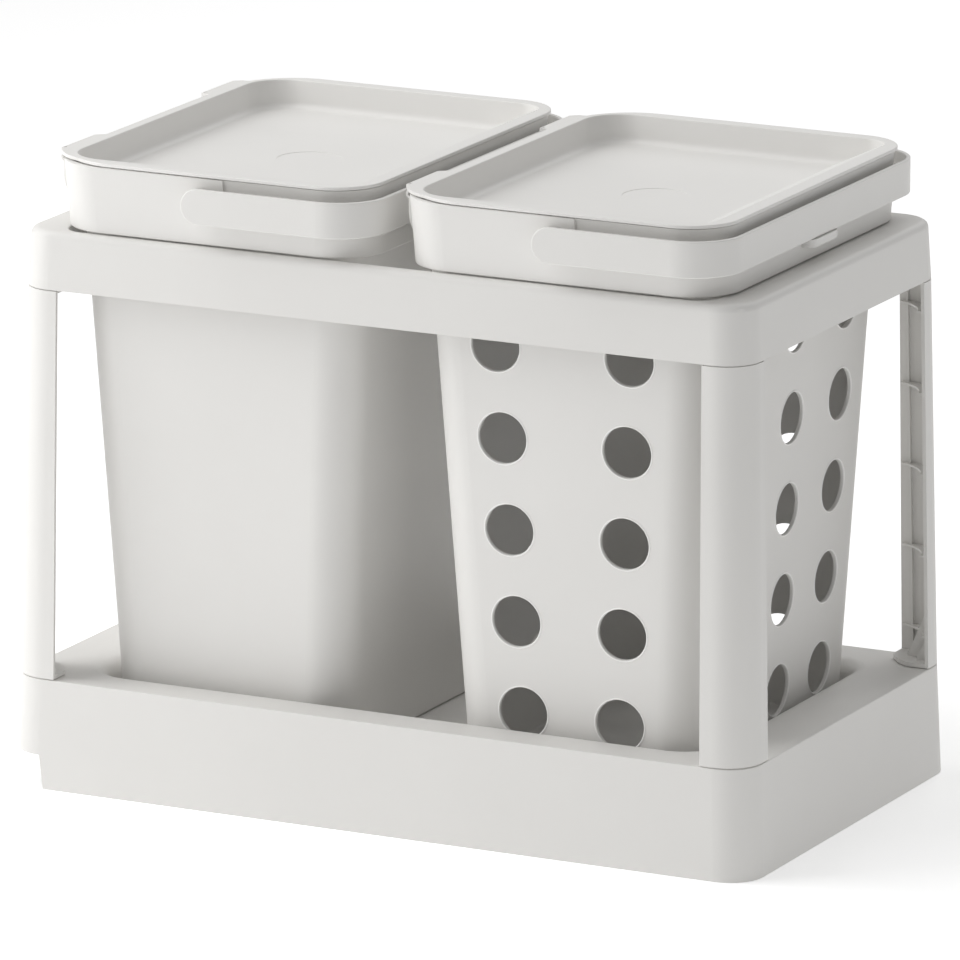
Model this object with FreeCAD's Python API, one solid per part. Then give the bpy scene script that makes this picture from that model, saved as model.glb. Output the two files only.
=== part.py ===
import FreeCAD, Part

import math
import os

# Built-in waste sorting bin: a tray, four corner posts and a top ring carry two lidded bins.
# Millimetres. +X runs along the length, +Y is the far side, +Z is up.
# The origin is the centre of the footprint on the surface that the tray stands on.

V = FreeCAD.Vector

# Frame, outside
BASE_LENGTH = 540.0
BASE_DEPTH = 320.6
BASE_HEIGHT = 74.0
POST_HEIGHT = 261.8
RING_HEIGHT = 38.5
CORNER_RADIUS = 24.0
BASE_DRAFT = 0.034
POST_DRAFT = 0.019
RING_DRAFT = 0.049

# Base tray
BASE_WALL = 3.0
TRAY_FLOOR_HEIGHT = 36.0
WELL_LAND_END = 45.9
WELL_LAND_FRONT = 32.8
WELL_CORNER_RADIUS = 24.0
WELL_DRAFT_END = 0.12
WELL_DRAFT_FRONT = 0.05
WELL_EDGE_ROUND = 9.0
WELL_FLOOR_ROUND = 4.0
BASE_EDGE_ROUND = 0.8
NOTCH_HEIGHT = 22.8
NOTCH_LENGTH = 28.0
NOTCH_LEAN = 3.0
TRAY_RIB = 2.2
TRAY_RIB_DEPTH = 9.0
TRAY_RIBS_ACROSS = 5
TRAY_RIBS_ALONG = 2

# Corner posts
POST_LEG = 33.0
POST_LEG_TOP = 30.2
POST_WALL = 2.5
POST_PLATE = 2.8
POST_HEAD_PLATE = 1.6
POST_PLATE_REACH = 36.5
POST_SEAM = 0.7
POST_SEAM_INSET = 1.4
POST_SHELF_THICKNESS = 1.4
POST_SHELF_DEPTH = 2.6
POST_SHELF_RADIUS = 31.0
POST_SHELVES = 5
POST_SHELF_MARGIN = 21.0
POST_SHELF_TIP_GAP = 2.0
POST_RIB = 1.5
POST_RIB_DEPTH = 2.6
GUSSET_THICKNESS = 1.4
GUSSETS = ((17.0, 19.0, 46.0), (24.0, 10.0, 21.0))
PEG_RADIUS = 3.8
PEG_LENGTH = 9.0
PEG_CLEARANCE = 0.05
PEG_FROM_END = 12.0
PEGS_FROM_FRONT = (13.8, 27.8)
PEG_SOCKET_WALL = 1.8

# Top ring
RING_WALL = 3.0
RING_EDGE_ROUND = 5.0
RING_LAND_END = 27.0
RING_LAND_FRONT = 7.9
RING_OPENING_RADIUS = 15.0
RING_LIP = 2.4
RING_LIP_HEIGHT = 14.0
RING_OPENING_ROUND = 1.2

# Bins
BIN_FLOOR_GAP = 0.3
BIN_WALL = 2.6
BIN_FLOOR = 3.0
BIN_CORNER_RADIUS = 27.0
BIN_BOTTOM_ROUND = 2.5
BIN_FLOOR_ROUND = 1.5
BIN_TAPER_X = 0.053
BIN_TAPER_Y = 0.053
BIN_LEAN = 0.004
LEFT_BIN_NEARER = 1.0
COLLAR_OVER_RING = 1.1
COLLAR_LAP_X = 6.4
COLLAR_LAP_Y = 2.0
COLLARS_APART = 26.0
COLLAR_HEIGHT = 45.0
COLLAR_STEP_X = 10.4
COLLAR_STEP_Y = 7.2
COLLAR_RADIUS = 34.0
COLLAR_TAPER_X = 0.030
COLLAR_TAPER_Y = 0.115
COLLAR_WALL = 4.4
COLLAR_SHELF = 2.6
COLLAR_FOOT_ROUND = 0.9
COLLAR_TOP_ROUND = 0.5
COLLAR_RECESS = 1.2
COLLAR_RECESS_START = 14.9

# Holes in the ventilated bin
HOLE_RADIUS = 17.0
HOLE_EDGE = 0.4
HOLE_ROWS = 5
HOLE_BOTTOM_MARGIN = 47.4
HOLE_TOP_MARGIN = 47.2
HOLE_FROM_CORNER_FRONT = 53.1
HOLE_FROM_CORNER_SIDE = 58.0
HOLE_SHIFT_X = -0.9
HOLE_SHIFT_Y = 1.0

# Lids
LID_GAP = 0.9
LID_THICKNESS = 2.2
LID_EDGE_ROUND = 0.7
LID_OVERHANG_Y = 0.8
LID_OVERHANG_FREE = 0.1
LID_SHORT_HINGE = 0.3
LID_RADIUS_HINGE = 46.0
LID_RADIUS_FREE = 33.0
LID_RIM_HINGE = 8.0
LID_RIM_FREE = 10.5
LID_RIM_SIDE = 10.5
LID_RECESS_RADIUS_HINGE = 26.0
LID_RECESS_RADIUS_FREE = 18.5
LID_RECESS_DEPTH = 19.0
LID_RECESS_DRAFT = 0.12
LID_RAMP_LENGTH = 40.0
LID_RECESS_ROUND = 5.0
LID_RIM_ROUND = 0.8
THUMB_MARK_RADIUS = 22.0
THUMB_MARK_DEPTH = 0.25
DIMPLE_FROM_RIM = 7.0
DIMPLE_FROM_MIDDLE = 57.0
DIMPLE_RADIUS = 3.2
DIMPLE_DEPTH = 1.4

# Lid hinges
HINGE_OUTSIDE = 5.5
HINGE_RADIUS = 3.0
HINGE_FROM_END = 31.0
HINGE_LENGTH = 45.0
HINGE_CHEEK = 8.0
HINGE_SIDE_GAP = 0.4
HINGE_PIN_RADIUS = 1.5
HINGE_PIN_FIT = 0.01
HINGE_PIN_RUNNING = 0.06
HINGE_PIN_SHORT = 1.5
BRACKET_SET_BACK = 2.1
BRACKET_STRAIGHT = 15.0
BRACKET_CURVE = 13.0
TAB_OUTSIDE = 0.2
TAB_SLOPE = 4.1
TAB_ROOT = 4.0
TAB_CORNER_START = 2.0
TAB_CORNER_ANGLE = 55.0
TAB_CORNER_BULGE = 4.0
TAB_CORNER_LAP = 2.0
TAB_SLOT_LENGTH = 4.0
TAB_SLOT_WIDTH = 1.0

# Handles
HANDLE_HEIGHT = 23.7
HANDLE_THICKNESS = 3.1
HANDLE_RADIUS = 34.0
HANDLE_BELOW_LID = 6.3
HANDLE_CLEAR_LID_X = 2.9
HANDLE_CLEAR_LID_Y = 5.1
HANDLE_PIVOT_X = 0.5
HANDLE_EDGE_ROUND = 0.9
HUB_RADIUS = 10.6
HUB_GAP = 0.5
STUD_RADIUS = 4.0
STUD_RUNNING = 0.08
STUD_END_GAP = 0.5
STUD_SOCKET_END = 0.8
REST_HALF_WIDTH = 21.5
REST_THICKNESS = 5.8
REST_PROUD = 1.5
REST_GAP = 0.4
REST_CORNER_ROUND = 8.0
REST_EDGE_ROUND = 2.0

# Working values: an overcut past a face, an overlap into the neighbour, a match of heights
OVERCUT = 5.0
OVERLAP = 0.6
SAME = 0.001

# Heights
RING_FOOT = BASE_HEIGHT + POST_HEIGHT
RING_TOP = RING_FOOT + RING_HEIGHT
BIN_BOTTOM = TRAY_FLOOR_HEIGHT + BIN_FLOOR_GAP
COLLAR_FOOT = RING_TOP + COLLAR_OVER_RING
COLLAR_TOP = COLLAR_FOOT + COLLAR_HEIGHT
LID_UNDERSIDE = COLLAR_TOP + LID_GAP
LID_TOP = LID_UNDERSIDE + LID_THICKNESS
HANDLE_TOP = LID_UNDERSIDE - HANDLE_BELOW_LID
HANDLE_FOOT = HANDLE_TOP - HANDLE_HEIGHT
HANDLE_PIVOT_Z = (HANDLE_TOP + HANDLE_FOOT) / 2
HINGE_Z = COLLAR_TOP - HINGE_RADIUS


def sides(half_x, half_y, level, taper_x, taper_y, centre_x=0.0, lean=0.0):
    """A drafted box: its outline (x0, x1, y0, y1) at any height, drawn in by inset."""

    def outline(z, inset=0.0):
        reach_x = half_x + taper_x * (z - level) - inset
        reach_y = half_y + taper_y * (z - level) - inset
        middle = centre_x + lean * (level - z)
        return (middle - reach_x, middle + reach_x, -reach_y, reach_y)

    return outline


BASE_SIDES = sides(BASE_LENGTH / 2, BASE_DEPTH / 2, 0.0, -BASE_DRAFT, -BASE_DRAFT)
BASE_TOP_X, BASE_TOP_Y = BASE_SIDES(BASE_HEIGHT)[1], BASE_SIDES(BASE_HEIGHT)[3]
POST_SIDES = sides(BASE_TOP_X, BASE_TOP_Y, BASE_HEIGHT, -POST_DRAFT, -POST_DRAFT)
POST_TOP_X, POST_TOP_Y = POST_SIDES(RING_FOOT)[1], POST_SIDES(RING_FOOT)[3]
RING_SIDES = sides(POST_TOP_X, POST_TOP_Y, RING_FOOT, -RING_DRAFT, -RING_DRAFT)
RING_TOP_X, RING_TOP_Y = RING_SIDES(RING_TOP)[1], RING_SIDES(RING_TOP)[3]
OPENING_X = RING_TOP_X - RING_LAND_END
OPENING_Y = RING_TOP_Y - RING_LAND_FRONT

# The collars cover the ring's opening and leave a space between them
COLLAR_HALF_X = (OPENING_X + COLLAR_LAP_X - COLLARS_APART / 2) / 2
COLLAR_HALF_Y = OPENING_Y + COLLAR_LAP_Y
RIGHT_CENTRE = COLLARS_APART / 2 + COLLAR_HALF_X
LEFT_CENTRE = LEFT_BIN_NEARER - RIGHT_CENTRE
COLLAR_TOP_HALF_X = COLLAR_HALF_X + COLLAR_TAPER_X * COLLAR_HEIGHT
COLLAR_TOP_HALF_Y = COLLAR_HALF_Y + COLLAR_TAPER_Y * COLLAR_HEIGHT

LID_HALF_Y = COLLAR_TOP_HALF_Y + LID_OVERHANG_Y
LID_FREE_X = COLLAR_TOP_HALF_X + LID_OVERHANG_FREE
LID_HINGE_X = COLLAR_TOP_HALF_X - LID_SHORT_HINGE
HINGE_FACE_X = COLLAR_TOP_HALF_X + HINGE_OUTSIDE
HINGE_X = HINGE_FACE_X - HINGE_RADIUS
HINGE_FAR_Y = COLLAR_TOP_HALF_Y - HINGE_FROM_END
HINGE_NEAR_Y = HINGE_FAR_Y - HINGE_LENGTH

HANDLE_INNER_X = LID_FREE_X + HANDLE_CLEAR_LID_X
HANDLE_OUTER_X = HANDLE_INNER_X + HANDLE_THICKNESS
HANDLE_INNER_Y = LID_HALF_Y + HANDLE_CLEAR_LID_Y
HANDLE_OUTER_Y = HANDLE_INNER_Y + HANDLE_THICKNESS
HUB_END_Y = COLLAR_HALF_Y + COLLAR_TAPER_Y * (HANDLE_TOP - COLLAR_FOOT) + HUB_GAP
STUD_END_Y = HANDLE_INNER_Y - STUD_SOCKET_END - STUD_END_GAP


def box(x0, x1, y0, y1, z0, z1):
    """Plain block between two corners, given in any order."""
    low = V(min(x0, x1), min(y0, y1), min(z0, z1))
    return Part.makeBox(abs(x1 - x0), abs(y1 - y0), abs(z1 - z0), low)


def face_of(points):
    """Flat face through the given corners."""
    return Part.Face(Part.makePolygon(points + points[:1]))


def corner_points(outline, z):
    """The four corners of an outline at one height, counter-clockwise from above."""
    x0, x1, y0, y1 = outline
    return [V(x0, y0, z), V(x1, y0, z), V(x1, y1, z), V(x0, y1, z)]


def tapered_box(low, z_low, high, z_high):
    """Block between two outlines at two heights, with four flat sides."""
    bottom = corner_points(low, z_low)
    top = corner_points(high, z_high)
    faces = [face_of(bottom[::-1]), face_of(top)]
    for i in range(4):
        j = (i + 1) % 4
        faces.append(face_of([bottom[i], bottom[j], top[j], top[i]]))
    solid = Part.Solid(Part.Shell(faces))
    if solid.Volume < 0:
        solid.reverse()
    return solid


def rounded_box(low, z_low, high, z_high, radius, radius_plus_x=None):
    """Tapered block with rounded standing edges; the +X pair may have a radius of its own."""
    solid = tapered_box(low, z_low, high, z_high)
    middle = (low[0] + low[1]) / 2
    for on_plus_x in (False, True):
        size = radius_plus_x if on_plus_x and radius_plus_x else radius
        edges = [
            edge
            for edge in solid.Edges
            if edge.BoundBox.ZLength > SAME
            and len(edge.Vertexes) == 2
            and edge.Curve.TypeId == "Part::GeomLine"
            and (edge.CenterOfMass.x > middle) == on_plus_x
            and not is_tangent_seam(edge, solid)
        ]
        solid = solid.makeFillet(size, edges)
    return solid


def is_tangent_seam(edge, solid):
    """True for a standing edge beside a rounded corner, which needs no rounding of its own."""
    neighbours = [face for face in solid.Faces if any(edge.isSame(other) for other in face.Edges)]
    return any(face.Surface.TypeId != "Part::GeomPlane" for face in neighbours)


def drafted(shape, z_low, z_high, radius, inset=0.0):
    """Rounded block that follows a drafted shape between two heights."""
    return rounded_box(shape(z_low, inset), z_low, shape(z_high, inset), z_high, radius)


def round_level(solid, z, radius, within=None):
    """Round the edges that lie flat at height z, all of them or those inside an outline."""

    def chosen(edge):
        bounds = edge.BoundBox
        if bounds.ZLength > SAME or abs(bounds.ZMin - z) > SAME:
            return False
        if within is None:
            return True
        x0, x1, y0, y1 = within
        return bounds.XMin > x0 and bounds.XMax < x1 and bounds.YMin > y0 and bounds.YMax < y1

    return solid.makeFillet(radius, [edge for edge in solid.Edges if chosen(edge)])


def cylinder_y(radius, x, z, y0, y1):
    """Round bar along Y."""
    return Part.makeCylinder(radius, abs(y1 - y0), V(x, min(y0, y1), z), V(0, 1, 0))


def mirrored(shape, normal):
    """Mirror image through the origin."""
    return shape.mirror(V(0, 0, 0), normal)


def fused(shapes):
    """One solid from touching pieces."""
    return shapes[0].multiFuse(shapes[1:]).removeSplitter()


def peg_places(shape, z):
    """Centres of one post's pegs at height z, in the corner at +X and +Y."""
    x1, y1 = shape(z)[1], shape(z)[3]
    return [(x1 - PEG_FROM_END, y1 - inset) for inset in PEGS_FROM_FRONT]


def sockets(places, z_low, z_high, z_bore_low, z_bore_high):
    """Tubes that take the pegs, at all four corners: outer bars and the bores to cut."""
    bars = []
    bores = []
    outer = PEG_RADIUS + PEG_CLEARANCE + PEG_SOCKET_WALL
    bore = PEG_RADIUS + PEG_CLEARANCE
    for x, y in places:
        for sx in (-1, 1):
            for sy in (-1, 1):
                low = V(sx * x, sy * y, z_low)
                bars.append(Part.makeCylinder(outer, z_high - z_low, low))
                start = V(sx * x, sy * y, z_bore_low)
                bores.append(Part.makeCylinder(bore, z_bore_high - z_bore_low, start))
    return bars, bores


def tray_ribs(well):
    """Shallow ribs that stiffen the tray floor from below."""
    floor_underside = TRAY_FLOOR_HEIGHT - BASE_WALL
    x0, x1, y0, y1 = well(floor_underside, WELL_FLOOR_ROUND)
    foot = floor_underside - TRAY_RIB_DEPTH
    top = floor_underside + OVERLAP
    ribs = []
    for i in range(TRAY_RIBS_ACROSS):
        x = (x1 - x0) * ((i + 1) / (TRAY_RIBS_ACROSS + 1) - 0.5)
        ribs.append(box(x - TRAY_RIB / 2, x + TRAY_RIB / 2, y0, y1, foot, top))
    for i in range(TRAY_RIBS_ALONG):
        y = (y1 - y0) * ((i + 1) / (TRAY_RIBS_ALONG + 1) - 0.5)
        ribs.append(box(x0, x1, y - TRAY_RIB / 2, y + TRAY_RIB / 2, foot, top))
    return ribs


def base_tray():
    """Bottom tray: a skirt with a flat rim, and a well that the bins stand in."""
    body = drafted(BASE_SIDES, 0.0, BASE_HEIGHT, CORNER_RADIUS)
    body = round_level(body, BASE_HEIGHT, BASE_EDGE_ROUND)
    well_x = BASE_TOP_X - WELL_LAND_END
    well_y = BASE_TOP_Y - WELL_LAND_FRONT
    well = sides(well_x, well_y, BASE_HEIGHT, WELL_DRAFT_END, WELL_DRAFT_FRONT)
    pit = drafted(well, TRAY_FLOOR_HEIGHT, BASE_HEIGHT + OVERCUT, WELL_CORNER_RADIUS)
    body = body.cut(round_level(pit, TRAY_FLOOR_HEIGHT, WELL_FLOOR_ROUND))
    body = round_level(body, BASE_HEIGHT, WELL_EDGE_ROUND, well(BASE_HEIGHT, -OVERLAP))

    rim_underside = BASE_HEIGHT - BASE_WALL
    floor_underside = TRAY_FLOOR_HEIGHT - BASE_WALL
    hollow = drafted(BASE_SIDES, -OVERCUT, rim_underside, CORNER_RADIUS - BASE_WALL, BASE_WALL)
    pan_radius = WELL_CORNER_RADIUS + BASE_WALL
    pan = drafted(well, floor_underside, rim_underside + OVERCUT, pan_radius, -BASE_WALL)
    pan = round_level(pan, floor_underside, WELL_FLOOR_ROUND + BASE_WALL)
    hollow = hollow.cut(pan)
    near_well = well(rim_underside, -BASE_WALL - OVERLAP)
    hollow = round_level(hollow, rim_underside, WELL_EDGE_ROUND - BASE_WALL, near_well)

    bars, bores = sockets(
        peg_places(BASE_SIDES, BASE_HEIGHT),
        rim_underside - PEG_LENGTH,
        rim_underside + OVERLAP,
        BASE_HEIGHT - PEG_LENGTH - PEG_CLEARANCE,
        BASE_HEIGHT + OVERCUT,
    )
    keep_inside = drafted(BASE_SIDES, 0.0, BASE_HEIGHT - OVERLAP, CORNER_RADIUS - OVERLAP, OVERLAP)
    bars = [bar.common(keep_inside) for bar in bars]
    body = fused([body.cut(hollow)] + tray_ribs(well) + bars).cut(bores)

    end = BASE_LENGTH / 2
    notch = face_of(
        [
            V(-end - OVERCUT, -BASE_DEPTH, -OVERCUT),
            V(-end + NOTCH_LENGTH, -BASE_DEPTH, -OVERCUT),
            V(-end + NOTCH_LENGTH, -BASE_DEPTH, 0.0),
            V(-end + NOTCH_LENGTH - NOTCH_LEAN, -BASE_DEPTH, NOTCH_HEIGHT),
            V(-end - OVERCUT, -BASE_DEPTH, NOTCH_HEIGHT),
        ]
    )
    return body.cut(notch.extrude(V(0, 2 * BASE_DEPTH, 0)))


def post_corner(z_low, z_high, inset=0.0):
    """Block that holds one corner of the frame, as wide as a post's leg less inset."""

    def outline(z):
        x1, y1 = POST_SIDES(z)[1], POST_SIDES(z)[3]
        up = (z - BASE_HEIGHT) / POST_HEIGHT
        leg = POST_LEG + (POST_LEG_TOP - POST_LEG) * up - inset
        return (x1 - leg, x1 + OVERCUT, y1 - leg, y1 + OVERCUT)

    return tapered_box(outline(z_low), z_low, outline(z_high), z_high)


def post_plate(z_low, z_high, level, inset=0.0):
    """Quarter-round end plate of a post, drawn in by inset from its outer faces."""
    x1, y1 = POST_SIDES(level)[1], POST_SIDES(level)[3]
    reach = POST_PLATE_REACH - inset
    disc = Part.makeCylinder(reach, z_high - z_low, V(x1, y1, z_low))
    disc = disc.common(post_corner(z_low, z_high, inset))
    return disc.common(drafted(POST_SIDES, z_low, z_high, CORNER_RADIUS - inset, inset))


def post_gusset(from_back, base, height, z):
    """Three-cornered web between the foot plate and the post's leg on the end face."""
    x1 = POST_SIDES(z + height)[1] - POST_WALL + OVERLAP
    y = POST_SIDES(z)[3] - from_back - GUSSET_THICKNESS / 2
    start = z - OVERLAP
    web = face_of([V(x1, y, start), V(x1 - base - OVERLAP, y, start), V(x1, y, z + height)])
    return web.extrude(V(0, GUSSET_THICKNESS, 0))


def post():
    """Corner post at +X and +Y: an angled profile with shelves, ribs, end plates and pegs."""
    low = BASE_HEIGHT + POST_SEAM
    high = RING_FOOT - POST_SEAM
    skin = drafted(POST_SIDES, low, high, CORNER_RADIUS)
    core_radius = CORNER_RADIUS - POST_WALL
    skin = skin.cut(drafted(POST_SIDES, BASE_HEIGHT, RING_FOOT, core_radius, POST_WALL))
    skin = skin.common(post_corner(BASE_HEIGHT, RING_FOOT))
    pieces = [skin]

    shelf_low = BASE_HEIGHT + POST_SHELF_MARGIN
    pitch = (POST_HEIGHT - 2 * POST_SHELF_MARGIN) / (POST_SHELVES - 1)
    for i in range(POST_SHELVES):
        z0 = shelf_low + pitch * i - POST_SHELF_THICKNESS / 2
        z1 = z0 + POST_SHELF_THICKNESS
        shelf = drafted(POST_SIDES, z0, z1, core_radius + OVERLAP, POST_WALL - OVERLAP)
        free_edge = POST_WALL + POST_SHELF_DEPTH
        shelf = shelf.cut(drafted(POST_SIDES, z0 - OVERCUT, z1 + OVERCUT, POST_SHELF_RADIUS, free_edge))
        pieces.append(shelf.common(post_corner(z0, z1, POST_SHELF_TIP_GAP)))

    def rib_along_x(z):
        x1, y1 = POST_SIDES(z)[1] - CORNER_RADIUS, POST_SIDES(z)[3] - POST_WALL
        return (x1 - POST_RIB / 2, x1 + POST_RIB / 2, y1 - POST_RIB_DEPTH, y1 + OVERLAP)

    def rib_along_y(z):
        x1, y1 = POST_SIDES(z)[1] - POST_WALL, POST_SIDES(z)[3] - CORNER_RADIUS
        return (x1 - POST_RIB_DEPTH, x1 + OVERLAP, y1 - POST_RIB / 2, y1 + POST_RIB / 2)

    for rib in (rib_along_x, rib_along_y):
        pieces.append(tapered_box(rib(low), low, rib(high), high))

    foot_top = low + POST_PLATE
    pieces.append(post_plate(low, foot_top, low))
    pieces.append(post_plate(high - POST_HEAD_PLATE, high, high))
    pieces.append(post_plate(BASE_HEIGHT, low + OVERLAP, low, POST_SEAM_INSET))
    pieces.append(post_plate(high - OVERLAP, RING_FOOT, high, POST_SEAM_INSET))
    for from_back, base, height in GUSSETS:
        pieces.append(post_gusset(from_back, base, height, foot_top))
    for x, y in peg_places(BASE_SIDES, BASE_HEIGHT):
        bottom = V(x, y, BASE_HEIGHT - PEG_LENGTH)
        pieces.append(Part.makeCylinder(PEG_RADIUS, PEG_LENGTH + POST_SEAM + OVERLAP, bottom))
    for x, y in peg_places(RING_SIDES, RING_FOOT):
        bottom = V(x, y, high - OVERLAP)
        pieces.append(Part.makeCylinder(PEG_RADIUS, PEG_LENGTH + POST_SEAM + OVERLAP, bottom))
    return fused(pieces)


def top_ring():
    """Upper frame: a skirt and a flat land around one opening for both bins."""
    body = drafted(RING_SIDES, RING_FOOT, RING_TOP, CORNER_RADIUS)
    body = round_level(body, RING_TOP, RING_EDGE_ROUND)
    opening = sides(OPENING_X, OPENING_Y, RING_TOP, 0.0, 0.0)
    body = body.cut(drafted(opening, RING_FOOT - OVERCUT, RING_TOP + OVERCUT, RING_OPENING_RADIUS))
    body = round_level(body, RING_TOP, RING_OPENING_ROUND, opening(RING_TOP, -OVERLAP))

    underside = RING_TOP - RING_WALL
    hollow = drafted(RING_SIDES, RING_FOOT - OVERCUT, underside, CORNER_RADIUS - RING_WALL, RING_WALL)
    lip = drafted(opening, RING_TOP - RING_LIP_HEIGHT, RING_TOP, RING_OPENING_RADIUS + RING_LIP, -RING_LIP)
    body = body.cut(hollow.cut(lip))

    bars, bores = sockets(
        peg_places(RING_SIDES, RING_FOOT),
        RING_FOOT,
        underside + OVERLAP,
        RING_FOOT - OVERCUT,
        RING_FOOT + PEG_LENGTH + PEG_CLEARANCE,
    )
    return fused([body] + bars).cut(bores)


def hinge_bracket(centre, y0, y1):
    """Bracket with a round head under a lid tab, on the hinge side of a collar."""
    axis = centre - HINGE_X
    face = centre - HINGE_FACE_X + BRACKET_SET_BACK
    neck = HINGE_Z - math.sqrt(HINGE_RADIUS ** 2 - (axis - face) ** 2)
    inner = centre - COLLAR_TOP_HALF_X + COLLAR_WALL / 2
    bend = COLLAR_TOP - BRACKET_STRAIGHT
    foot = bend - BRACKET_CURVE
    collar_face = centre - COLLAR_HALF_X - COLLAR_TAPER_X * (foot - COLLAR_FOOT)
    run = collar_face - face
    radius = (BRACKET_CURVE ** 2 + run ** 2) / (2 * run)
    half_turn = math.asin(BRACKET_CURVE / radius) / 2
    curve_middle = V(face + radius * (1 - math.cos(half_turn)), y0, bend - radius * math.sin(half_turn))
    head_side = V(axis - HINGE_RADIUS, y0, HINGE_Z)
    path = [
        Part.makeLine(V(inner, y0, COLLAR_TOP), V(axis, y0, COLLAR_TOP)),
        Part.Arc(V(axis, y0, COLLAR_TOP), head_side, V(face, y0, neck)).toShape(),
        Part.makeLine(V(face, y0, neck), V(face, y0, bend)),
        Part.Arc(V(face, y0, bend), curve_middle, V(collar_face, y0, foot)).toShape(),
        Part.makeLine(V(collar_face, y0, foot), V(inner, y0, foot)),
        Part.makeLine(V(inner, y0, foot), V(inner, y0, COLLAR_TOP)),
    ]
    return Part.Face(Part.Wire(path)).extrude(V(0, y1 - y0, 0))


def hinge_spans():
    """The two lengths along Y that the hinges of a lid take."""
    return [(-HINGE_FAR_Y, -HINGE_NEAR_Y), (HINGE_NEAR_Y, HINGE_FAR_Y)]


def hinge_pockets(centre):
    """Room in the brackets for the lid's knuckles, and the holes for the pins."""
    axis = centre - HINGE_X
    room = HINGE_RADIUS + LID_GAP
    bore = HINGE_PIN_RADIUS + HINGE_PIN_FIT
    low, high = HINGE_Z - room, COLLAR_TOP + OVERCUT
    cuts = []
    for y0, y1 in hinge_spans():
        cuts.append(box(axis - room, axis + room, y0 + HINGE_CHEEK, y1 - HINGE_CHEEK, low, high))
        cuts.append(cylinder_y(bore, axis, HINGE_Z, y0 - OVERCUT, y1 + OVERCUT))
    return cuts


def handle_rest(centre):
    """Rounded nose under the middle of the handle."""
    top = HANDLE_FOOT - REST_GAP
    outer = centre + HANDLE_OUTER_X + REST_PROUD
    inner = centre + COLLAR_HALF_X - COLLAR_WALL / 2
    nose = box(inner, outer, -REST_HALF_WIDTH, REST_HALF_WIDTH, top - REST_THICKNESS, top)
    upright = [e for e in nose.Edges if e.BoundBox.ZLength > SAME and e.CenterOfMass.x > outer - SAME]
    nose = nose.makeFillet(REST_CORNER_ROUND, upright)
    low = [
        e
        for e in nose.Edges
        if e.BoundBox.ZLength < SAME and e.BoundBox.ZMax < top - SAME and e.CenterOfMass.x > inner + SAME
    ]
    return nose.makeFillet(REST_EDGE_ROUND, low)


def bin_sides(centre):
    """Drafted outside of a bin below its collar; it leans away from the other bin."""
    half_x = COLLAR_HALF_X - COLLAR_STEP_X
    half_y = COLLAR_HALF_Y - COLLAR_STEP_Y
    lean = math.copysign(BIN_LEAN, centre)
    return sides(half_x, half_y, COLLAR_FOOT, BIN_TAPER_X, BIN_TAPER_Y, centre, lean)


def bin_body(centre):
    """Open bin: a tapered body, a wider collar, hinge brackets, handle studs and a handle rest."""
    body_sides = bin_sides(centre)
    collar_sides = sides(COLLAR_HALF_X, COLLAR_HALF_Y, COLLAR_FOOT, COLLAR_TAPER_X, COLLAR_TAPER_Y, centre)
    body = drafted(body_sides, BIN_BOTTOM, COLLAR_FOOT + OVERLAP, BIN_CORNER_RADIUS)
    body = round_level(body, BIN_BOTTOM, BIN_BOTTOM_ROUND)
    collar = drafted(collar_sides, COLLAR_FOOT, COLLAR_TOP, COLLAR_RADIUS)
    collar = round_level(collar, COLLAR_FOOT, COLLAR_FOOT_ROUND)
    collar = round_level(collar, COLLAR_TOP, COLLAR_TOP_ROUND)

    recess_low = HANDLE_FOOT - OVERLAP
    above = COLLAR_TOP + OVERCUT
    recess_radius = COLLAR_RADIUS - COLLAR_RECESS
    band = drafted(collar_sides, recess_low, above, COLLAR_RADIUS + OVERLAP, -OVERLAP)
    core = drafted(collar_sides, recess_low - OVERCUT, above + OVERCUT, recess_radius, COLLAR_RECESS)
    far = centre + COLLAR_TOP_HALF_X + OVERCUT
    wide = COLLAR_TOP_HALF_Y + OVERCUT
    window = box(centre + COLLAR_RECESS_START, far, -wide, wide, recess_low, above)
    collar = collar.cut(band.cut(core).common(window))

    outside = [body, collar, handle_rest(centre)]
    for y0, y1 in hinge_spans():
        outside.append(hinge_bracket(centre, y0, y1))
    pivot = centre + HANDLE_PIVOT_X
    for side in (-1, 1):
        inner_end = side * (COLLAR_HALF_Y - COLLAR_WALL / 2)
        outside.append(cylinder_y(STUD_RADIUS, pivot, HANDLE_PIVOT_Z, inner_end, side * STUD_END_Y))
    whole = fused(outside)

    shelf_top = COLLAR_FOOT + COLLAR_SHELF
    inner_radius = BIN_CORNER_RADIUS - BIN_WALL
    cavity = drafted(body_sides, BIN_BOTTOM + BIN_FLOOR, shelf_top + OVERLAP, inner_radius, BIN_WALL)
    cavity = round_level(cavity, BIN_BOTTOM + BIN_FLOOR, BIN_FLOOR_ROUND)
    mouth = drafted(collar_sides, shelf_top, above, COLLAR_RADIUS - COLLAR_WALL, COLLAR_WALL)
    return whole.cut([cavity, mouth] + hinge_pockets(centre))


def hole_tool():
    """Drill with a small bevel for both faces of the wall; its axis is +Z out of the wall."""
    wide = HOLE_RADIUS + HOLE_EDGE + OVERLAP
    profile = [
        V(0, 0, OVERLAP),
        V(wide, 0, OVERLAP),
        V(HOLE_RADIUS, 0, -HOLE_EDGE),
        V(HOLE_RADIUS, 0, HOLE_EDGE - BIN_WALL),
        V(wide, 0, -BIN_WALL - OVERLAP),
        V(0, 0, -BIN_WALL - OVERLAP),
    ]
    return face_of(profile).revolve(V(0, 0, 0), V(0, 0, 1), 360)


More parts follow.
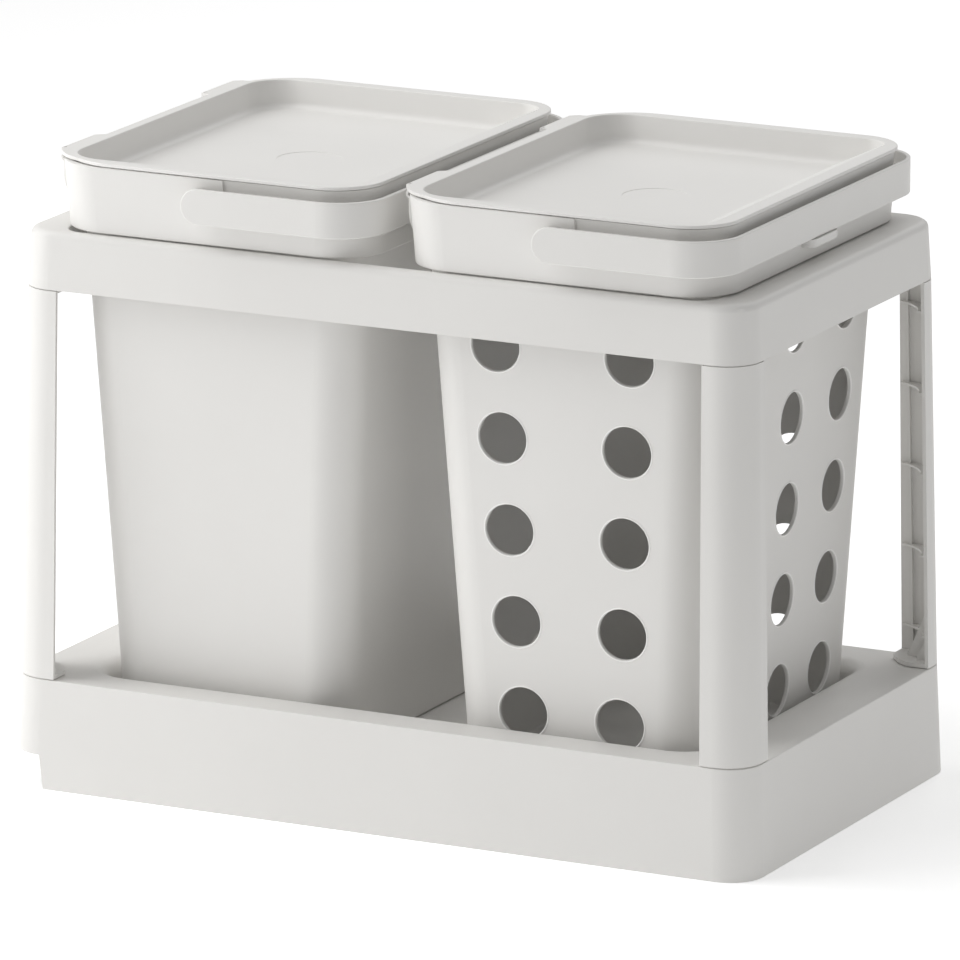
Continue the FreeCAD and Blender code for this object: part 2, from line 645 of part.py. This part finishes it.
def ventilation(centre):
    """All the round holes of the ventilated bin: two columns on each long side, three on each end."""
    shape = bin_sides(centre)
    tool = hole_tool()
    low = BIN_BOTTOM + HOLE_BOTTOM_MARGIN
    pitch = (COLLAR_FOOT - HOLE_TOP_MARGIN - low) / (HOLE_ROWS - 1)
    holes = []
    for row in range(HOLE_ROWS):
        z = low + pitch * row
        x0, x1, y0, y1 = shape(z)
        column_y = y1 - HOLE_FROM_CORNER_SIDE
        for face_y, side in ((y0, -1), (y1, 1)):
            for x in (x0 + HOLE_FROM_CORNER_FRONT, x1 - HOLE_FROM_CORNER_FRONT):
                outward = V(0, side, -BIN_TAPER_Y)
                holes.append((V(x + HOLE_SHIFT_X, face_y, z), outward))
        for face_x, side in ((x0, -1), (x1, 1)):
            for y in (-column_y, 0.0, column_y):
                outward = V(side, 0, -BIN_TAPER_X)
                holes.append((V(face_x, y + HOLE_SHIFT_Y, z), outward))
    tools = []
    for point, outward in holes:
        drill = tool.copy()
        drill.Placement = FreeCAD.Placement(point, FreeCAD.Rotation(V(0, 0, 1), outward))
        tools.append(drill)
    return tools


def bin_solid(centre):
    """Bin with closed walls."""
    return bin_body(centre)


def bin_ventilated(centre):
    """Bin with round holes in all four walls."""
    return bin_body(centre).cut(ventilation(centre))


def lid_tab(centre, y0, y1):
    """Tab over a hinge bracket; its far end slopes back to the rim."""
    outer = centre - HINGE_FACE_X + TAB_OUTSIDE
    rim = centre - LID_HINGE_X
    root = rim + TAB_ROOT
    plan = [
        V(root, y0, LID_UNDERSIDE),
        V(outer, y0, LID_UNDERSIDE),
        V(outer, y1, LID_UNDERSIDE),
        V(rim, y1 + TAB_SLOPE, LID_UNDERSIDE),
        V(root, y1 + TAB_SLOPE, LID_UNDERSIDE),
    ]
    return face_of(plan).extrude(V(0, 0, LID_THICKNESS))


def lid_tab_corner(centre, y0):
    """Curved web that carries the near tab on into the lid's rounded corner."""
    middle = V(centre - LID_HINGE_X + LID_RADIUS_HINGE, -LID_HALF_Y + LID_RADIUS_HINGE, LID_UNDERSIDE)
    turn = math.radians(TAB_CORNER_ANGLE)
    end = middle - V(math.cos(turn), math.sin(turn), 0) * LID_RADIUS_HINGE
    start = V(centre - HINGE_FACE_X + TAB_OUTSIDE, y0 + TAB_CORNER_START, LID_UNDERSIDE)
    outward = V(end.y - start.y, start.x - end.x, 0).normalize()
    bulge = (start + end) / 2 + outward * TAB_CORNER_BULGE
    path = [
        Part.Arc(start, bulge, end).toShape(),
        Part.makeLine(end, middle),
        Part.makeLine(middle, start),
    ]
    web = Part.Face(Part.Wire(path)).extrude(V(0, 0, LID_THICKNESS))
    below = middle - V(0, 0, OVERCUT)
    inside = Part.makeCylinder(LID_RADIUS_HINGE - TAB_CORNER_LAP, LID_THICKNESS + 2 * OVERCUT, below)
    return web.cut(inside)


def lid(centre):
    """Dished lid with a flat rim, two hinge tabs and their knuckles."""
    outline = (centre - LID_HINGE_X, centre + LID_FREE_X, -LID_HALF_Y, LID_HALF_Y)
    plate = rounded_box(outline, LID_UNDERSIDE, outline, LID_TOP, LID_RADIUS_HINGE, LID_RADIUS_FREE)
    plate = round_level(plate, LID_TOP, LID_EDGE_ROUND)
    floor = LID_TOP - LID_RECESS_DEPTH
    under = floor - LID_THICKNESS
    above = LID_TOP + OVERCUT
    rim_x = centre + LID_FREE_X - LID_RIM_FREE
    ramp_rise = LID_RECESS_DEPTH / LID_RAMP_LENGTH

    def dish(z, outset=0.0):
        inward = LID_RECESS_DRAFT * (LID_TOP - z) - outset
        return (
            centre - LID_HINGE_X + LID_RIM_HINGE + inward,
            rim_x + OVERLAP + outset,
            -LID_HALF_Y + LID_RIM_SIDE + inward,
            LID_HALF_Y - LID_RIM_SIDE - inward,
        )

    def below_ramp(outset=0.0):
        drop = outset * math.hypot(1.0, ramp_rise)
        low = under - OVERCUT
        high_x = rim_x + LID_RIM_FREE
        start = V(high_x, -LID_HALF_Y, low)
        high = V(high_x, -LID_HALF_Y, LID_TOP - drop + LID_RIM_FREE * ramp_rise)
        foot = V(rim_x - (LID_TOP - drop - low) / ramp_rise, -LID_HALF_Y, low)
        return face_of([foot, start, high]).extrude(V(0, 2 * LID_HALF_Y, 0))

    radius = LID_RECESS_RADIUS_HINGE
    radius_free = LID_RECESS_RADIUS_FREE
    recess = rounded_box(dish(floor), floor, dish(above), above, radius, radius_free)
    recess = round_level(recess, floor, LID_RECESS_ROUND).cut(below_ramp())
    inside = LID_TOP - OVERLAP
    radius += LID_THICKNESS
    radius_free += LID_THICKNESS
    low_dish, high_dish = dish(under, LID_THICKNESS), dish(inside, LID_THICKNESS)
    pan = rounded_box(low_dish, under, high_dish, inside, radius, radius_free)
    pan = round_level(pan, under, LID_RECESS_ROUND + LID_THICKNESS).cut(below_ramp(LID_THICKNESS))
    body = plate.fuse(pan).cut(recess)
    body = round_level(body, LID_TOP, LID_RIM_ROUND, dish(LID_TOP, OVERLAP))

    pieces = [body, lid_tab_corner(centre, -HINGE_FAR_Y)]
    cuts = []
    axis = centre - HINGE_X
    bore = HINGE_PIN_RADIUS + HINGE_PIN_RUNNING
    slot_x = centre - HINGE_FACE_X + TAB_OUTSIDE + TAB_SLOT_WIDTH
    for y0, y1 in hinge_spans():
        pieces.append(lid_tab(centre, y0, y1))
        low = y0 + HINGE_CHEEK + HINGE_SIDE_GAP
        high = y1 - HINGE_CHEEK - HINGE_SIDE_GAP
        top = LID_UNDERSIDE + OVERLAP
        pieces.append(cylinder_y(HINGE_RADIUS, axis, HINGE_Z, low, high))
        pieces.append(box(axis - HINGE_RADIUS, axis + HINGE_RADIUS, low, high, HINGE_Z, top))
        cuts.append(cylinder_y(bore, axis, HINGE_Z, y0 - OVERCUT, y1 + OVERCUT))
        slot_y = y0 + TAB_SLOT_WIDTH
        slot_end = slot_y + TAB_SLOT_LENGTH
        past = LID_TOP + OVERCUT
        cuts.append(box(slot_x, slot_x + TAB_SLOT_WIDTH, slot_y, slot_end, LID_UNDERSIDE - OVERLAP, past))
    mark_foot = floor - THUMB_MARK_DEPTH
    cuts.append(Part.makeCylinder(THUMB_MARK_RADIUS, THUMB_MARK_DEPTH + OVERLAP, V(centre, 0, mark_foot)))
    dimple_x = rim_x - DIMPLE_FROM_RIM
    dimple_foot = LID_TOP - DIMPLE_FROM_RIM * ramp_rise - DIMPLE_DEPTH
    dimple = [
        V(dimple_x - DIMPLE_RADIUS, -DIMPLE_FROM_MIDDLE - DIMPLE_RADIUS, dimple_foot),
        V(dimple_x + DIMPLE_RADIUS, -DIMPLE_FROM_MIDDLE, dimple_foot),
        V(dimple_x - DIMPLE_RADIUS, -DIMPLE_FROM_MIDDLE + DIMPLE_RADIUS, dimple_foot),
    ]
    cuts.append(face_of(dimple).extrude(V(0, 0, LID_TOP - dimple_foot)))
    return fused(pieces).cut(cuts)


def handle(centre):
    """Bail handle: a flat band around three sides of the collar, turning on two studs."""
    pivot = centre + HANDLE_PIVOT_X
    back = pivot - HANDLE_HEIGHT
    outer = (back, centre + HANDLE_OUTER_X, -HANDLE_OUTER_Y, HANDLE_OUTER_Y)
    inner = (back - OVERCUT, centre + HANDLE_INNER_X, -HANDLE_INNER_Y, HANDLE_INNER_Y)
    band = rounded_box(outer, HANDLE_FOOT, outer, HANDLE_TOP, OVERLAP, HANDLE_RADIUS)
    inner_radius = HANDLE_RADIUS - HANDLE_THICKNESS
    low, high = HANDLE_FOOT - OVERCUT, HANDLE_TOP + OVERCUT
    band = band.cut(rounded_box(inner, low, inner, high, OVERLAP, inner_radius))
    wide = HANDLE_OUTER_Y + OVERCUT
    far = centre + HANDLE_OUTER_X + OVERCUT
    ends = cylinder_y(HANDLE_HEIGHT / 2, pivot, HANDLE_PIVOT_Z, -wide, wide)
    straight = box(pivot, far, -wide, wide, HANDLE_FOOT - SAME, HANDLE_TOP + SAME)
    band = band.common(ends.fuse(straight)).removeSplitter()
    band = band.makeFillet(HANDLE_EDGE_ROUND, [e for e in band.Edges if not is_standing(e)])
    hubs = []
    bores = []
    for side in (-1, 1):
        arm = side * (HANDLE_INNER_Y + HANDLE_THICKNESS / 2)
        hubs.append(cylinder_y(HUB_RADIUS, pivot, HANDLE_PIVOT_Z, side * HUB_END_Y, arm))
        bottom = side * (HANDLE_INNER_Y - STUD_SOCKET_END)
        start = side * (HUB_END_Y - OVERCUT)
        bores.append(cylinder_y(STUD_RADIUS + STUD_RUNNING, pivot, HANDLE_PIVOT_Z, start, bottom))
    return fused([band] + hubs).cut(bores)


def is_standing(edge):
    """True for an edge across the width of the handle band, where two smooth faces meet."""
    return edge.BoundBox.ZLength > HANDLE_HEIGHT - OVERLAP and edge.BoundBox.XLength < SAME


def hinge_pin(centre, y0, y1):
    """Steel pin of one lid hinge."""
    start, end = y0 + HINGE_PIN_SHORT, y1 - HINGE_PIN_SHORT
    return cylinder_y(HINGE_PIN_RADIUS, centre - HINGE_X, HINGE_Z, start, end)


def save(name, shape):
    """Write one sub-part."""
    solids = shape.Solids
    print(name, len(solids), "solid", round(shape.Volume / 1000.0, 1), "cm3", shape.isValid())
    whole = solids[0] if len(solids) == 1 else Part.makeCompound(solids)
    whole.exportStep("parts/" + name + ".step")


def main():
    os.makedirs("parts", exist_ok=True)
    save("base_tray", base_tray())
    right_back = post()
    left_back = mirrored(right_back, V(1, 0, 0))
    save("post_back_right", right_back)
    save("post_back_left", left_back)
    save("post_front_right", mirrored(right_back, V(0, 1, 0)))
    save("post_front_left", mirrored(left_back, V(0, 1, 0)))
    save("top_ring", top_ring())
    save("bin_solid", bin_solid(LEFT_CENTRE))
    save("bin_ventilated", bin_ventilated(RIGHT_CENTRE))
    for side, centre in (("left", LEFT_CENTRE), ("right", RIGHT_CENTRE)):
        save("lid_" + side, lid(centre))
        save("handle_" + side, handle(centre))
        front, back = hinge_spans()
        save("hinge_pin_" + side + "_front", hinge_pin(centre, *front))
        save("hinge_pin_" + side + "_back", hinge_pin(centre, *back))


main()
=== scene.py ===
"""Looks of the built-in waste sorting bin: moulded plastic finishes, hole rims, floor, light and camera."""

import math

import bpy
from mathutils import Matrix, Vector


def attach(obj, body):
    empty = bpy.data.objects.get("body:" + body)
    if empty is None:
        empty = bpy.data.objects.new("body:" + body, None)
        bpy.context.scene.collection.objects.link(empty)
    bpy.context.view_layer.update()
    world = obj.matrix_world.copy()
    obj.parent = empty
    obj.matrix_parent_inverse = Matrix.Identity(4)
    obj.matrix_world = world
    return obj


MM = 0.001

# Round holes of the ventilated bin, as its source places them
BIN_CENTRE = 126.51165 * MM
BIN_TOP = 375.4 * MM
BIN_HALF_X = 103.11165 * MM
BIN_HALF_Y = 137.8233 * MM
BIN_TAPER = 0.053
BIN_LEAN = 0.004
HOLE_RADIUS = 17.0 * MM
HOLE_BEVEL = 0.4 * MM
HOLE_ROWS = 5
LOWEST_ROW = 83.7 * MM
HIGHEST_ROW = 328.2 * MM
COLUMN_FROM_EDGE_X = 53.1 * MM
COLUMN_FROM_EDGE_Y = 58.0 * MM
HOLE_SHIFT_X = -0.9 * MM
HOLE_SHIFT_Y = 1.0 * MM

# Rounded rim of each hole
RIM_RADIUS = 0.60 * MM
RIM_SUNK = 0.25 * MM
RIM_OUT = 0.35 * MM
RIM_STEPS_ROUND = 48
RIM_STEPS_ACROSS = 6

# Plastic colours, all one warm light grey that comes out of each mould a little different
FRAME_GREY = (0.785, 0.774, 0.751)
BIN_GREY = (0.803, 0.792, 0.769)
LID_GREY = (0.840, 0.829, 0.806)
HANDLE_GREY = (0.797, 0.786, 0.763)
# Near-white colour of the hole rims: a painted highlight, lighter than the bin's own plastic
RIM_PAINTED_HIGHLIGHT = (0.96, 0.95, 0.93)
PLASTIC_IOR = 1.49

# Unevenness of the moulded plastic: slow shift of tone, uneven gloss and spark-eroded pits
TONE_SHIFT = 0.017
TONE_SCALE = 9.0
GLOSS_SHIFT = 0.05
GLOSS_SCALE = 70.0
PIT_SCALE = 1500.0
PIT_DEPTH = 0.02 * MM

# Drawn steel of the hinge pins, from its darkest to its lightest drawing line
STEEL_DARK = (0.52, 0.52, 0.53, 1.0)
STEEL_LIGHT = (0.66, 0.66, 0.67, 1.0)
STEEL_SMOOTHEST = 0.28
STEEL_ROUGHEST = 0.42
STEEL_LINE_DEPTH = 0.01 * MM

# The floor is a light table: its own glow, added to what it reflects
FLOOR_REACH = 14.0
FLOOR_WHITE = (0.96, 0.96, 0.96, 1.0)
FLOOR_ROUGHNESS = 0.9
FLOOR_GLOW = 0.33
SKY_STRENGTH = 0.324
PURE_WHITE = (1.0, 1.0, 1.0, 1.0)

# Camera, as the photograph sees the object
CAMERA_AZIMUTH = 26.588
CAMERA_ELEVATION = 13.996
CAMERA_DISTANCE = 6702.75 * MM
CAMERA_LENS = 382.80
CAMERA_SENSOR = 36.0
CAMERA_REACH = 100.0
CAMERA_TARGET = Vector((-0.33, 0.0, 200.82)) * MM


def link(obj):
    bpy.context.scene.collection.objects.link(obj)
    return obj


def direction(azimuth, elevation):
    """Unit vector from the object towards a place at that azimuth and elevation, in degrees."""
    a, e = math.radians(azimuth), math.radians(elevation)
    return Vector((math.sin(a) * math.cos(e), -math.cos(a) * math.cos(e), math.sin(e)))


def add(tree, kind, **inputs):
    """New node with its inputs set by name, underscores for spaces."""
    node = tree.nodes.new(kind)
    for name, value in inputs.items():
        node.inputs[name.replace("_", " ")].default_value = value
    return node


def moulded_plastic(name, light, roughness, grain):
    """Matte moulded plastic: slow shifts of tone, a fine spark-eroded grain and uneven gloss."""
    material = bpy.data.materials.new(name)
    material.use_nodes = True
    tree = material.node_tree
    tree.nodes.clear()
    output = tree.nodes.new("ShaderNodeOutputMaterial")
    surface = add(tree, "ShaderNodeBsdfPrincipled", IOR=PLASTIC_IOR)
    place = tree.nodes.new("ShaderNodeTexCoord")
    tree.links.new(surface.outputs["BSDF"], output.inputs["Surface"])

    cloud = add(tree, "ShaderNodeTexNoise", Scale=TONE_SCALE, Detail=3.0, Roughness=0.55)
    tone = tree.nodes.new("ShaderNodeValToRGB")
    tone.color_ramp.elements[0].position = 0.3
    tone.color_ramp.elements[0].color = (*[channel - TONE_SHIFT for channel in light], 1.0)
    tone.color_ramp.elements[1].position = 0.7
    tone.color_ramp.elements[1].color = (*light, 1.0)
    tree.links.new(place.outputs["Object"], cloud.inputs["Vector"])
    tree.links.new(cloud.outputs["Fac"], tone.inputs["Fac"])
    tree.links.new(tone.outputs["Color"], surface.inputs["Base Color"])

    gloss = add(tree, "ShaderNodeTexNoise", Scale=GLOSS_SCALE, Detail=4.0)
    spread = add(tree, "ShaderNodeMapRange", To_Min=roughness - GLOSS_SHIFT, To_Max=roughness + GLOSS_SHIFT)
    tree.links.new(place.outputs["Object"], gloss.inputs["Vector"])
    tree.links.new(gloss.outputs["Fac"], spread.inputs["Value"])
    tree.links.new(spread.outputs["Result"], surface.inputs["Roughness"])

    pits = add(tree, "ShaderNodeTexNoise", Scale=PIT_SCALE, Detail=2.0)
    bump = add(tree, "ShaderNodeBump", Strength=grain, Distance=PIT_DEPTH)
    tree.links.new(place.outputs["Object"], pits.inputs["Vector"])
    tree.links.new(pits.outputs["Fac"], bump.inputs["Height"])
    tree.links.new(bump.outputs["Normal"], surface.inputs["Normal"])
    return material


def drawn_steel():
    """Plain drawn steel of the hinge pins, with fine lines around and a little uneven gloss."""
    material = bpy.data.materials.new("drawn_steel")
    material.use_nodes = True
    tree = material.node_tree
    tree.nodes.clear()
    output = tree.nodes.new("ShaderNodeOutputMaterial")
    surface = add(tree, "ShaderNodeBsdfPrincipled", Metallic=1.0)
    place = tree.nodes.new("ShaderNodeTexCoord")
    tree.links.new(surface.outputs["BSDF"], output.inputs["Surface"])

    cloud = add(tree, "ShaderNodeTexNoise", Scale=300.0, Detail=3.0)
    tone = tree.nodes.new("ShaderNodeValToRGB")
    tone.color_ramp.elements[0].color = STEEL_DARK
    tone.color_ramp.elements[1].color = STEEL_LIGHT
    spread = add(tree, "ShaderNodeMapRange", To_Min=STEEL_SMOOTHEST, To_Max=STEEL_ROUGHEST)
    tree.links.new(place.outputs["Object"], cloud.inputs["Vector"])
    tree.links.new(cloud.outputs["Fac"], tone.inputs["Fac"])
    tree.links.new(cloud.outputs["Fac"], spread.inputs["Value"])
    tree.links.new(tone.outputs["Color"], surface.inputs["Base Color"])
    tree.links.new(spread.outputs["Result"], surface.inputs["Roughness"])

    lines = add(tree, "ShaderNodeTexWave", Scale=900.0, Distortion=1.5)
    lines.bands_direction = "Y"
    bump = add(tree, "ShaderNodeBump", Strength=0.15, Distance=STEEL_LINE_DEPTH)
    tree.links.new(place.outputs["Object"], lines.inputs["Vector"])
    tree.links.new(lines.outputs["Fac"], bump.inputs["Height"])
    tree.links.new(bump.outputs["Normal"], surface.inputs["Normal"])
    return material


def hole_places():
    """Middle and outward direction of every ventilation hole, on the bin's outer face."""
    places = []
    for row in range(HOLE_ROWS):
        z = LOWEST_ROW + (HIGHEST_ROW - LOWEST_ROW) * row / (HOLE_ROWS - 1)
        half_x = BIN_HALF_X - BIN_TAPER * (BIN_TOP - z)
        half_y = BIN_HALF_Y - BIN_TAPER * (BIN_TOP - z)
        middle = BIN_CENTRE + BIN_LEAN * (BIN_TOP - z)
        for side in (-1, 1):
            for end in (-1, 1):
                x = middle + end * (half_x - COLUMN_FROM_EDGE_X) + HOLE_SHIFT_X
                places.append(((x, side * half_y, z), (0.0, side, -BIN_TAPER)))
            for column in (-1, 0, 1):
                y = column * (half_y - COLUMN_FROM_EDGE_Y) + HOLE_SHIFT_Y
                places.append(((middle + side * half_x, y, z), (side, 0.0, -BIN_TAPER)))
    return places


def rim_tree(material):
    """Geometry Nodes: a ring of round section on every point, facing along its outward attribute."""
    tree = bpy.data.node_groups.new("hole_rims", "GeometryNodeTree")
    sockets = tree.interface
    sockets.new_socket(name="Geometry", in_out="INPUT", socket_type="NodeSocketGeometry")
    for name in ("Ring Radius", "Bead Radius"):
        sockets.new_socket(name=name, in_out="INPUT", socket_type="NodeSocketFloat")
    sockets.new_socket(name="Sink", in_out="INPUT", socket_type="NodeSocketVector")
    sockets.new_socket(name="Geometry", in_out="OUTPUT", socket_type="NodeSocketGeometry")
    start = tree.nodes.new("NodeGroupInput")
    end = tree.nodes.new("NodeGroupOutput")

    ring = add(tree, "GeometryNodeCurvePrimitiveCircle", Resolution=RIM_STEPS_ROUND)
    section = add(tree, "GeometryNodeCurvePrimitiveCircle", Resolution=RIM_STEPS_ACROSS)
    sweep = tree.nodes.new("GeometryNodeCurveToMesh")
    sunk = tree.nodes.new("GeometryNodeTransform")
    tree.links.new(start.outputs["Ring Radius"], ring.inputs["Radius"])
    tree.links.new(start.outputs["Bead Radius"], section.inputs["Radius"])
    tree.links.new(ring.outputs["Curve"], sweep.inputs["Curve"])
    tree.links.new(section.outputs["Curve"], sweep.inputs["Profile Curve"])
    tree.links.new(sweep.outputs["Mesh"], sunk.inputs["Geometry"])
    tree.links.new(start.outputs["Sink"], sunk.inputs["Translation"])

    outward = add(tree, "GeometryNodeInputNamedAttribute", Name="outward")
    outward.data_type = "FLOAT_VECTOR"
    facing = tree.nodes.new("FunctionNodeAlignRotationToVector")
    facing.axis = "Z"
    spread = tree.nodes.new("GeometryNodeInstanceOnPoints")
    real = tree.nodes.new("GeometryNodeRealizeInstances")
    smooth = tree.nodes.new("GeometryNodeSetShadeSmooth")
    coat = tree.nodes.new("GeometryNodeSetMaterial")
    coat.inputs["Material"].default_value = material
    tree.links.new(outward.outputs["Attribute"], facing.inputs["Vector"])
    tree.links.new(start.outputs["Geometry"], spread.inputs["Points"])
    tree.links.new(sunk.outputs["Geometry"], spread.inputs["Instance"])
    tree.links.new(facing.outputs["Rotation"], spread.inputs["Rotation"])
    tree.links.new(spread.outputs["Instances"], real.inputs["Geometry"])
    tree.links.new(real.outputs["Geometry"], smooth.inputs["Geometry"])
    tree.links.new(smooth.outputs["Geometry"], coat.inputs["Geometry"])
    tree.links.new(coat.outputs["Geometry"], end.inputs["Geometry"])
    return tree


def hole_rims(material):
    """Rounded rim of every ventilation hole, as one plain mesh on the ventilated bin."""
    places = hole_places()
    points = bpy.data.meshes.new("hole_points")
    points.from_pydata([place for place, _ in places], [], [])
    outward = points.attributes.new("outward", "FLOAT_VECTOR", "POINT")
    for entry, (_, way) in zip(outward.data, places):
        entry.vector = way
    carrier = link(bpy.data.objects.new("hole_points", points))
    modifier = carrier.modifiers.new("rims", "NODES")
    tree = rim_tree(material)
    modifier.node_group = tree
    values = {
        "Ring Radius": HOLE_RADIUS + HOLE_BEVEL + RIM_OUT,
        "Bead Radius": RIM_RADIUS,
        "Sink": (0.0, 0.0, -RIM_SUNK),
    }
    for item in tree.interface.items_tree:
        if item.in_out == "INPUT" and item.name in values:
            modifier[item.identifier] = values[item.name]
    seen = carrier.evaluated_get(bpy.context.evaluated_depsgraph_get())
    mesh = bpy.data.meshes.new_from_object(seen)
    mesh.name = "hole_rims"
    mesh.materials.clear()
    mesh.materials.append(material)
    mesh.polygons.foreach_set("material_index", [0] * len(mesh.polygons))
    carrier.modifiers.remove(modifier)
    bpy.data.objects.remove(carrier)
    rims = link(bpy.data.objects.new("hole_rims", mesh))
    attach(rims, "bin_right")


def dress(nodes, starts, material):
    """Puts the material on every node whose name starts in one of these ways."""
    for name in nodes:
        if name.startswith(starts):
            for material_slot in nodes[name].material_slots:
                material_slot.material = material


def floor():
    """Wide pale floor under the object."""
    mesh = bpy.data.meshes.new("floor")
    corners = [(x * FLOOR_REACH, y * FLOOR_REACH, 0) for x, y in ((-1, -1), (1, -1), (1, 1), (-1, 1))]
    mesh.from_pydata(corners, [], [(0, 1, 2, 3)])
    plane = link(bpy.data.objects.new("floor", mesh))
    material = bpy.data.materials.new("pale_floor")
    material.use_nodes = True
    surface = material.node_tree.nodes["Principled BSDF"]
    surface.inputs["Base Color"].default_value = FLOOR_WHITE
    surface.inputs["Roughness"].default_value = FLOOR_ROUGHNESS
    surface.inputs["Emission Color"].default_value = PURE_WHITE
    surface.inputs["Emission Strength"].default_value = FLOOR_GLOW
    mesh.materials.append(material)


def lamp(name, azimuth, elevation, distance, size, power):
    """Soft square lamp that faces the middle of the object."""
    data = bpy.data.lights.new(name, "AREA")
    data.size = size
    data.energy = power
    lamp_object = link(bpy.data.objects.new(name, data))
    way = direction(azimuth, elevation)
    lamp_object.location = CAMERA_TARGET + way * distance
    lamp_object.rotation_mode = "QUATERNION"
    lamp_object.rotation_quaternion = way.to_track_quat("Z", "Y")


def sky(strength):
    """Even white light from all around."""
    world = bpy.data.worlds.new("studio")
    bpy.context.scene.world = world
    world.use_nodes = True
    background = world.node_tree.nodes["Background"]
    background.inputs["Color"].default_value = PURE_WHITE
    background.inputs["Strength"].default_value = strength


def camera():
    """Long lens at the photograph's viewing angle."""
    data = bpy.data.cameras.new("camera")
    data.lens = CAMERA_LENS
    data.sensor_width = CAMERA_SENSOR
    data.clip_end = CAMERA_REACH
    eye = link(bpy.data.objects.new("camera", data))
    way = direction(CAMERA_AZIMUTH, CAMERA_ELEVATION)
    eye.location = CAMERA_TARGET + way * CAMERA_DISTANCE
    eye.rotation_mode = "QUATERNION"
    eye.rotation_quaternion = way.to_track_quat("Z", "Y")
    bpy.context.scene.camera = eye


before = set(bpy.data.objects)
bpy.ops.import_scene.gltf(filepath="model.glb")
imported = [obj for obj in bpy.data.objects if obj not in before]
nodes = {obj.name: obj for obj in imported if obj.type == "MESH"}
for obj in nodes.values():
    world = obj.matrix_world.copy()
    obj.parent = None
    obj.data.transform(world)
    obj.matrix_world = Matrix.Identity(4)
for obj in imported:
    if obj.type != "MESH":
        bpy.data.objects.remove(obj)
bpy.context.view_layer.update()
dress(nodes, ("base", "post", "top"), moulded_plastic("frame_plastic_grained", FRAME_GREY, 0.50, 0.12))
dress(nodes, ("bin",), moulded_plastic("bin_plastic_grained", BIN_GREY, 0.48, 0.12))
dress(nodes, ("lid",), moulded_plastic("lid_plastic_grained", LID_GREY, 0.46, 0.10))
dress(nodes, ("handle",), moulded_plastic("handle_plastic_grained", HANDLE_GREY, 0.44, 0.08))
dress(nodes, ("hinge_pin",), drawn_steel())
# Hole rims coloured near-white and glossy: a painted highlight ring around each hole
hole_rims(moulded_plastic("rims_painted_highlight", RIM_PAINTED_HIGHLIGHT, 0.32, 0.04))
floor()
lamp("key", azimuth=-60.0, elevation=20.0, distance=1.8, size=1.4, power=10.6)
lamp("upper_left", azimuth=-90.0, elevation=45.0, distance=1.8, size=1.4, power=4.8)
lamp("high_left", azimuth=-60.0, elevation=50.0, distance=4.0, size=2.4, power=40.4)
lamp("top", azimuth=0.0, elevation=88.0, distance=4.0, size=2.4, power=20.5)
lamp("back", azimuth=178.0, elevation=38.0, distance=4.0, size=2.4, power=31.8)
sky(SKY_STRENGTH)
camera()
bpy.context.scene.view_settings.view_transform = "Standard"
